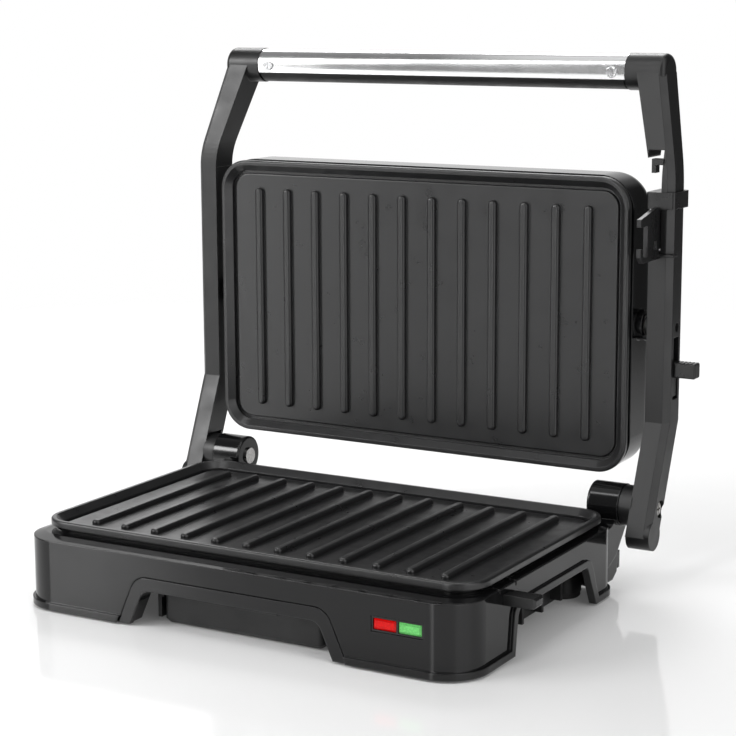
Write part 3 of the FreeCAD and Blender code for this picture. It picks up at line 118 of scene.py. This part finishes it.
class Finish:
    """A Principled material whose colour, gloss and relief vary over the surface, in metres."""

    def __init__(self, name, metallic=0.0, ior=1.5):
        self.material = bpy.data.materials.new(name)
        self.material.use_nodes = True
        self.nodes = self.material.node_tree.nodes
        self.links = self.material.node_tree.links
        self.shader = self.nodes["Principled BSDF"]
        self.place = self.nodes.new("ShaderNodeTexCoord").outputs["Object"]
        self.surface = None
        self.put("Metallic", metallic)
        self.put("IOR", ior)

    def put(self, socket, value):
        """One value that is the same all over the surface."""
        self.shader.inputs[socket].default_value = value

    def stretched(self, stretch):
        """Object coordinates in which a pattern is drawn out by these factors."""
        mapping = self.nodes.new("ShaderNodeMapping")
        mapping.inputs["Scale"].default_value = [1.0 / part for part in stretch]
        self.links.new(self.place, mapping.inputs["Vector"])
        return mapping.outputs["Vector"]

    def noise(self, size, detail=2.0, stretch=(1.0, 1.0, 1.0)):
        """A soft random field with features about this size."""
        texture = self.nodes.new("ShaderNodeTexNoise")
        texture.inputs["Scale"].default_value = 1.0 / size
        texture.inputs["Detail"].default_value = detail
        self.links.new(self.stretched(stretch), texture.inputs["Vector"])
        return texture.outputs["Fac"]

    def cells(self, size):
        """A field of small cells about this size, from 0 in the middle of each."""
        texture = self.nodes.new("ShaderNodeTexVoronoi")
        texture.inputs["Scale"].default_value = 1.0 / size
        self.links.new(self.place, texture.inputs["Vector"])
        return texture.outputs["Distance"]

    def between(self, field, low_in, high_in, low_out, high_out):
        """The field's range drawn onto another range."""
        ramp = self.nodes.new("ShaderNodeMapRange")
        ramp.inputs["From Min"].default_value = low_in
        ramp.inputs["From Max"].default_value = high_in
        ramp.inputs["To Min"].default_value = low_out
        ramp.inputs["To Max"].default_value = high_out
        self.links.new(field, ramp.inputs["Value"])
        return ramp.outputs["Result"]

    def product(self, first, second):
        """Two fields multiplied."""
        node = self.nodes.new("ShaderNodeMath")
        node.operation = "MULTIPLY"
        self.links.new(first, node.inputs[0])
        self.links.new(second, node.inputs[1])
        return node.outputs["Value"]

    def blend(self, field, low_colour, high_colour):
        """A colour that goes from one to the other with the field; either may be a socket."""
        mix = self.nodes.new("ShaderNodeMix")
        mix.data_type = "RGBA"
        self.links.new(field, mix.inputs["Factor"])
        for index, colour in zip(MIX_COLOURS, (low_colour, high_colour)):
            socket = mix.inputs[index]
            if isinstance(colour, bpy.types.NodeSocket):
                self.links.new(colour, socket)
            else:
                socket.default_value = rgba(colour)
        return mix.outputs[MIX_COLOUR_OUT]

    def colour(self, socket):
        """The varying colour becomes the surface's colour."""
        self.links.new(socket, self.shader.inputs["Base Color"])

    def roughness(self, field, low, high):
        """The roughness varies between two values with the field."""
        rough = self.between(field, *NOISE_MIDDLE, low, high)
        self.links.new(rough, self.shader.inputs["Roughness"])

    def round_edges(self, radius):
        """The surface bends over each sharp edge within this radius."""
        node = self.nodes.new("ShaderNodeBevel")
        node.samples = EDGE_SAMPLES
        node.inputs["Radius"].default_value = radius
        self.surface = node.outputs["Normal"]
        self.links.new(self.surface, self.shader.inputs["Normal"])

    def edge_field(self):
        """1 along the rounded edges and 0 on the flat, from how far the surface bends there."""
        geometry = self.nodes.new("ShaderNodeNewGeometry")
        dot = self.nodes.new("ShaderNodeVectorMath")
        dot.operation = "DOT_PRODUCT"
        self.links.new(geometry.outputs["Normal"], dot.inputs[0])
        self.links.new(self.surface, dot.inputs[1])
        return self.between(dot.outputs["Value"], *EDGE_BEND, 0.0, 1.0)

    def shades(self, field, colour, dark, light, edge):
        """Shades of one colour: from dark to light with the field, and a lighter one along the
        edges that is a painted highlight.
        """
        edge_field = self.edge_field()
        tone = self.blend(field, scaled(colour, dark), scaled(colour, light))
        # The edge colour is a painted highlight on the rounded edges.
        self.colour(self.blend(edge_field, tone, scaled(colour, edge)))

    def relief(self, field, height):
        """The field stands out of the surface by up to this height."""
        node = self.nodes.new("ShaderNodeBump")
        node.inputs["Strength"].default_value = 1.0
        node.inputs["Distance"].default_value = height
        self.links.new(field, node.inputs["Height"])
        if self.surface is not None:
            self.links.new(self.surface, node.inputs["Normal"])
        self.surface = node.outputs["Normal"]
        self.links.new(self.surface, self.shader.inputs["Normal"])


def gloss_plastic(name, colour):
    """Moulded plastic polished to a mirror, with faint waves, fine ripple and a highlight painted
    along the edges.
    """
    finish = Finish(name, ior=1.44)
    finish.round_edges(CASING_EDGE_ROUND)
    # The last factor paints a highlight along the rounded edges.
    finish.shades(finish.noise(50 * MM, 3.0), colour, 0.85, 1.2, 2.2)
    finish.roughness(finish.noise(18 * MM, 4.0), 0.05, 0.11)
    finish.relief(finish.noise(30 * MM, 1.0), 42 * MICRON)
    finish.relief(finish.noise(0.9 * MM, 2.0), 3.5 * MICRON)
    return finish.material


def satin_plastic(name, colour, grain=0.55 * MM, depth=9 * MICRON, rough=(0.3, 0.42)):
    """Moulded plastic with the fine spark-eroded grain of a satin tool, and a highlight painted
    along the edges.
    """
    finish = Finish(name)
    finish.round_edges(EDGE_ROUND)
    # The last factor paints a highlight along the rounded edges.
    finish.shades(finish.noise(30 * MM, 3.0), colour, 0.85, 1.18, 2.0)
    finish.roughness(finish.noise(12 * MM, 4.0), *rough)
    finish.relief(finish.noise(grain, 3.0), depth)
    return finish.material


def casing_gloss():
    return gloss_plastic("casing_gloss", BLACK_PLASTIC)


def housing_gloss():
    return gloss_plastic("housing_gloss", scaled(BLACK_PLASTIC, 1.1))


def trim_gloss():
    return gloss_plastic("trim_gloss", scaled(BLACK_PLASTIC, 1.5))


def arm_satin():
    return satin_plastic("arm_satin", SATIN_PLASTIC)


def chassis_black():
    colour = scaled(SATIN_PLASTIC, 0.75)
    return satin_plastic("chassis_black", colour, 0.8 * MM, 16 * MICRON, (0.42, 0.58))


def fitting_black():
    colour = scaled(SATIN_PLASTIC, 1.15)
    return satin_plastic("fitting_black", colour, 0.5 * MM, 8 * MICRON, (0.24, 0.36))


def bezel_black():
    colour = scaled(SATIN_PLASTIC, 0.7)
    return satin_plastic("bezel_black", colour, 0.4 * MM, 6 * MICRON, (0.2, 0.3))


def foot_rubber():
    """Matt rubber with a dusty bloom in its pores."""
    finish = Finish("foot_rubber", ior=1.48)
    finish.round_edges(EDGE_ROUND)
    bloom = finish.noise(4 * MM, 5.0)
    finish.colour(finish.blend(bloom, (0.018, 0.018, 0.018), (0.045, 0.044, 0.042)))
    finish.roughness(bloom, 0.68, 0.85)
    finish.relief(finish.noise(0.7 * MM, 4.0), 30 * MICRON)
    return finish.material


def plate_coating():
    """Sprayed non-stick coating: dark, with mineral specks, an orange-peel skin and a highlight
    painted along its edges.
    """
    finish = Finish("plate_coating", ior=1.45)
    finish.round_edges(EDGE_ROUND)
    edge = finish.edge_field()
    cloud = finish.noise(40 * MM, 4.0)
    tone = finish.blend(cloud, COATING_DARK, COATING_LIGHT)
    speck = finish.between(finish.cells(1.1 * MM), 0.16, 0.08, 0.0, 1.0)
    scatter = finish.between(finish.noise(6 * MM, 2.0), 0.52, 0.6, 0.0, 1.0)
    specked = finish.blend(finish.product(speck, scatter), tone, COATING_SPECK)
    # The coating's rounded edges and rib ends are painted lighter as a highlight.
    finish.colour(finish.blend(edge, specked, COATING_EDGE_HIGHLIGHT))
    finish.roughness(finish.noise(9 * MM, 4.0), 0.27, 0.4)
    finish.relief(finish.noise(1.4 * MM, 2.0), 12 * MICRON)
    finish.relief(finish.noise(0.35 * MM, 2.0), 3 * MICRON)
    finish.put("Coat Weight", 0.35)
    finish.put("Coat Roughness", 0.22)
    return finish.material


def handle_polished():
    """Polished aluminium tube with hair-fine polishing lines along its length and faint smears."""
    finish = Finish("handle_polished", metallic=1.0)
    finish.round_edges(FINE_EDGE_ROUND)
    lines = finish.noise(0.4 * MM, 3.0, POLISHING)
    smear = finish.noise(20 * MM, 4.0, SMEARING)
    finish.colour(finish.blend(smear, (0.86, 0.865, 0.87), (0.93, 0.93, 0.935)))
    finish.roughness(smear, 0.1, 0.17)
    finish.relief(lines, 1.2 * MICRON)
    finish.put("Anisotropic", 0.35)
    return finish.material


def brushed_metal(name, colour, rough):
    """Sheet metal brushed from side to side, with a highlight painted along the edges."""
    finish = Finish(name, metallic=1.0)
    finish.round_edges(FINE_EDGE_ROUND)
    lines = finish.noise(0.3 * MM, 4.0, BRUSHING)
    # The last factor paints a highlight along the rounded edges.
    finish.shades(lines, colour, 0.85, 1.0, 1.15)
    finish.roughness(lines, *rough)
    finish.relief(lines, 2 * MICRON)
    return finish.material


def panel_brushed():
    return brushed_metal("panel_brushed", (0.6, 0.6, 0.61), (0.24, 0.36))


def shield_steel():
    return brushed_metal("shield_steel", (0.46, 0.45, 0.43), (0.36, 0.5))


def machined_metal(name, colour, rough):
    """Small turned or drawn metal, with fine random marks, a dull film in places and a highlight
    painted along the edges.
    """
    finish = Finish(name, metallic=1.0)
    finish.round_edges(FINE_EDGE_ROUND)
    film = finish.noise(3 * MM, 4.0)
    # The last factor paints a highlight along the rounded edges.
    finish.shades(film, colour, 0.78, 1.0, 1.2)
    finish.roughness(film, *rough)
    finish.relief(finish.noise(0.25 * MM, 3.0), 3 * MICRON)
    return finish.material


def screw_steel():
    return machined_metal("screw_steel", (0.5, 0.49, 0.47), (0.25, 0.4))


def screw_bright():
    return machined_metal("screw_bright", (0.78, 0.78, 0.79), (0.16, 0.26))


def pin_steel():
    return machined_metal("pin_steel", (0.56, 0.55, 0.54), (0.2, 0.32))


def heater_steel():
    """Heating element tube with the straw and blue tint of steel that has run hot."""
    finish = Finish("heater_steel", metallic=1.0)
    tint = finish.noise(20 * MM, 3.0)
    finish.colour(finish.blend(tint, (0.2, 0.13, 0.08), (0.17, 0.17, 0.2)))
    finish.roughness(finish.noise(4 * MM, 4.0), 0.4, 0.6)
    finish.relief(finish.noise(0.6 * MM, 3.0), 10 * MICRON)
    return finish.material


def thermostat_ceramic():
    """Off-white glazed ceramic with faint grey pits."""
    finish = Finish("thermostat_ceramic", ior=1.6)
    finish.round_edges(FINE_EDGE_ROUND)
    pits = finish.noise(1.2 * MM, 4.0)
    finish.colour(finish.blend(pits, (0.5, 0.47, 0.41), (0.72, 0.69, 0.62)))
    finish.roughness(pits, 0.28, 0.45)
    finish.relief(pits, 10 * MICRON)
    return finish.material


def fuse_sleeve():
    """Woven glass sleeve, cream, with a fine braid."""
    finish = Finish("fuse_sleeve")
    braid = finish.cells(0.6 * MM)
    finish.colour(finish.blend(braid, (0.75, 0.7, 0.58), (0.5, 0.45, 0.35)))
    finish.roughness(braid, 0.6, 0.75)
    finish.relief(braid, 120 * MICRON)
    return finish.material


def lead_insulation():
    """Silicone insulation with a slight drag texture."""
    finish = Finish("lead_insulation", ior=1.42)
    drag = finish.noise(1.2 * MM, 3.0)
    finish.colour(finish.blend(drag, (0.02, 0.02, 0.021), (0.038, 0.038, 0.04)))
    finish.roughness(drag, 0.42, 0.56)
    finish.relief(drag, 10 * MICRON)
    return finish.material


def bush_nylon():
    """Natural nylon, milky, with light passing a little way in."""
    finish = Finish("bush_nylon", ior=1.53)
    finish.round_edges(FINE_EDGE_ROUND)
    cloud = finish.noise(2 * MM, 3.0)
    finish.colour(finish.blend(cloud, (0.6, 0.58, 0.52), (0.74, 0.72, 0.67)))
    finish.roughness(cloud, 0.32, 0.45)
    finish.relief(finish.noise(0.4 * MM, 2.0), 4 * MICRON)
    finish.put("Subsurface Weight", 0.2)
    finish.put("Subsurface Scale", 1 * MM)
    return finish.material


def lens(name, dark, light):
    """Coloured lamp lens: a lit window that turns darker along its rounded rim, over fine prisms.
    """
    finish = Finish(name, ior=1.5)
    finish.round_edges(LENS_BORDER)
    prisms = finish.cells(0.9 * MM)
    cloud = finish.noise(4 * MM, 2.0)
    tone = finish.blend(finish.edge_field(), finish.blend(cloud, scaled(light, 0.9), light), dark)
    finish.colour(finish.blend(finish.between(prisms, 0.2, 0.7, 0.0, 0.35), tone, dark))
    finish.roughness(cloud, 0.06, 0.14)
    finish.relief(prisms, 10 * MICRON)
    finish.links.new(tone, finish.shader.inputs["Emission Color"])
    finish.put("Emission Strength", LENS_GLOW)
    finish.put("Specular IOR Level", 0.3)
    return finish.material


def lens_red():
    return lens("lens_red", (0.12, 0.0, 0.0), (0.6, 0.0, 0.0))


def lens_green():
    return lens("lens_green", (0.01, 0.12, 0.012), (0.15, 0.56, 0.15))


def lamp_glass():
    """Clear glass of the small lamps behind the lenses, slightly smoky at the seal."""
    finish = Finish("lamp_glass", ior=1.5)
    smoke = finish.noise(2 * MM, 2.0)
    finish.colour(finish.blend(smoke, (0.72, 0.7, 0.66), (0.95, 0.94, 0.92)))
    finish.roughness(smoke, 0.02, 0.08)
    finish.put("Transmission Weight", 0.85)
    return finish.material


def board_green():
    """Lamp board: green solder mask over copper, with a faint weave of the glass cloth."""
    finish = Finish("board_green", ior=1.55)
    finish.round_edges(FINE_EDGE_ROUND)
    weave = finish.noise(0.7 * MM, 2.0, WEAVING)
    finish.colour(finish.blend(weave, (0.012, 0.09, 0.03), (0.02, 0.14, 0.05)))
    finish.roughness(weave, 0.25, 0.38)
    finish.relief(weave, 6 * MICRON)
    return finish.material


FINISHES = [
    casing_gloss,
    housing_gloss,
    trim_gloss,
    arm_satin,
    chassis_black,
    fitting_black,
    bezel_black,
    foot_rubber,
    plate_coating,
    handle_polished,
    panel_brushed,
    shield_steel,
    screw_steel,
    screw_bright,
    pin_steel,
    heater_steel,
    thermostat_ceramic,
    fuse_sleeve,
    lead_insulation,
    bush_nylon,
    lens_red,
    lens_green,
    lamp_glass,
    board_green,
]


def dress_nodes():
    """Each CAD node gets the finish that its material slot names."""
    finishes = {make.__name__: make() for make in FINISHES}
    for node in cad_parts.values():
        for slot in node.material_slots:
            slot.material = finishes[slot.material.name.split(".")[0]]


def floor_finish():
    """Pale glossy board, faintly cloudy, that fades out well away from the press."""
    finish = Finish("floor_board", ior=1.42)
    cloud = finish.noise(300 * MM, 3.0)
    finish.colour(finish.blend(cloud, (0.93, 0.93, 0.93), (0.96, 0.96, 0.96)))
    finish.roughness(cloud, 0.05, 0.09)
    finish.put("Emission Color", rgba((1.0, 1.0, 1.0)))
    finish.put("Emission Strength", FLOOR_GLOW)
    distance = finish.nodes.new("ShaderNodeVectorMath")
    distance.operation = "LENGTH"
    finish.links.new(finish.place, distance.inputs[0])
    fade = finish.between(distance.outputs["Value"], *FLOOR_FADE, 1.0, 0.0)
    finish.links.new(fade, finish.shader.inputs["Alpha"])
    return finish.material


def make_floor():
    """A round pale floor that the press stands on."""
    turns = [2.0 * math.pi * side / FLOOR_SIDES for side in range(FLOOR_SIDES)]
    rim = [(FLOOR_RADIUS * math.cos(turn), FLOOR_RADIUS * math.sin(turn), 0.0) for turn in turns]
    mesh = bpy.data.meshes.new("floor")
    mesh.from_pydata(rim, [], [list(range(FLOOR_SIDES))])
    mesh.materials.append(floor_finish())
    floor = bpy.data.objects.new("floor", mesh)
    bpy.context.scene.collection.objects.link(floor)


def make_light(name, place, size, power):
    """A rectangular soft box that points at the middle of the press."""
    data = bpy.data.lights.new(name, "AREA")
    data.shape = "RECTANGLE"
    data.size, data.size_y = size
    data.energy = power
    light = bpy.data.objects.new(name, data)
    light.location = place
    light.rotation_mode = "QUATERNION"
    light.rotation_quaternion = (Vector(place) - Vector(LIGHT_AIM)).to_track_quat("Z", "Y")
    bpy.context.scene.collection.objects.link(light)


def make_lights():
    """A key high on the left, one overhead, and one behind for the upper edges."""
    for box in SOFT_BOXES:
        make_light(*box)


def studio_ring(nodes, links):
    """How bright the room is in each direction round the press, as STUDIO_RING lists."""
    turned = nodes.new("ShaderNodeMapping")
    turned.inputs["Rotation"].default_value = (0.0, 0.0, math.radians(90.0))
    links.new(nodes.new("ShaderNodeTexCoord").outputs["Generated"], turned.inputs["Vector"])
    around = nodes.new("ShaderNodeTexGradient")
    around.gradient_type = "RADIAL"
    links.new(turned.outputs["Vector"], around.inputs["Vector"])
    ring = nodes.new("ShaderNodeValToRGB")
    ring.color_ramp.interpolation = "EASE"
    stops = ring.color_ramp.elements
    while len(stops) < len(STUDIO_RING):
        stops.new(0.5)
    brightest = max(level for _, level in STUDIO_RING)
    for stop, (degrees, level) in zip(stops, STUDIO_RING):
        stop.position = degrees / 360.0 + 0.5
        stop.color = rgba((level / brightest,) * 3)
    links.new(around.outputs["Fac"], ring.inputs["Fac"])
    shade = nodes.new("ShaderNodeMath")
    shade.operation = "MULTIPLY"
    shade.inputs[1].default_value = brightest
    links.new(ring.outputs["Color"], shade.inputs[0])
    return shade.outputs["Value"]


def make_world():
    """Plain white to the camera; to the press, a room of bright strips and dark gaps."""
    world = bpy.data.worlds.new("studio")
    bpy.context.scene.world = world
    world.use_nodes = True
    nodes = world.node_tree.nodes
    links = world.node_tree.links
    shade = studio_ring(nodes, links)
    strength = nodes.new("ShaderNodeMix")
    strength.data_type = "FLOAT"
    unseen, seen = MIX_FLOATS
    camera_ray = nodes.new("ShaderNodeLightPath").outputs["Is Camera Ray"]
    links.new(camera_ray, strength.inputs[MIX_FACTOR])
    links.new(shade, strength.inputs[unseen])
    strength.inputs[seen].default_value = 1.0
    background = nodes["Background"]
    background.inputs["Color"].default_value = (1.0, 1.0, 1.0, 1.0)
    links.new(strength.outputs[MIX_FLOAT_OUT], background.inputs["Strength"])


def make_camera():
    """The viewpoint: from the front right, a little above the press."""
    azimuth, elevation = CAMERA_AZIMUTH, CAMERA_ELEVATION
    back = Vector(
        (
            math.sin(azimuth) * math.cos(elevation),
            -math.cos(azimuth) * math.cos(elevation),
            math.sin(elevation),
        )
    )
    level_right = Vector((math.cos(azimuth), math.sin(azimuth), 0.0))
    level_up = back.cross(level_right)
    right = math.cos(CAMERA_ROLL) * level_right + math.sin(CAMERA_ROLL) * level_up
    up = math.cos(CAMERA_ROLL) * level_up - math.sin(CAMERA_ROLL) * level_right
    data = bpy.data.cameras.new("camera")
    data.lens = CAMERA_LENS
    data.sensor_width = CAMERA_SENSOR
    data.clip_start, data.clip_end = CAMERA_CLIP
    camera = bpy.data.objects.new("camera", data)
    turn = Matrix((right, up, back)).transposed().to_4x4()
    camera.matrix_world = Matrix.Translation(CAMERA_TARGET + back * CAMERA_DISTANCE) @ turn
    bpy.context.scene.collection.objects.link(camera)
    bpy.context.scene.camera = camera


dress_nodes()
make_floor()
make_lights()
make_world()
make_camera()
bpy.context.scene.view_settings.view_transform = "Standard"
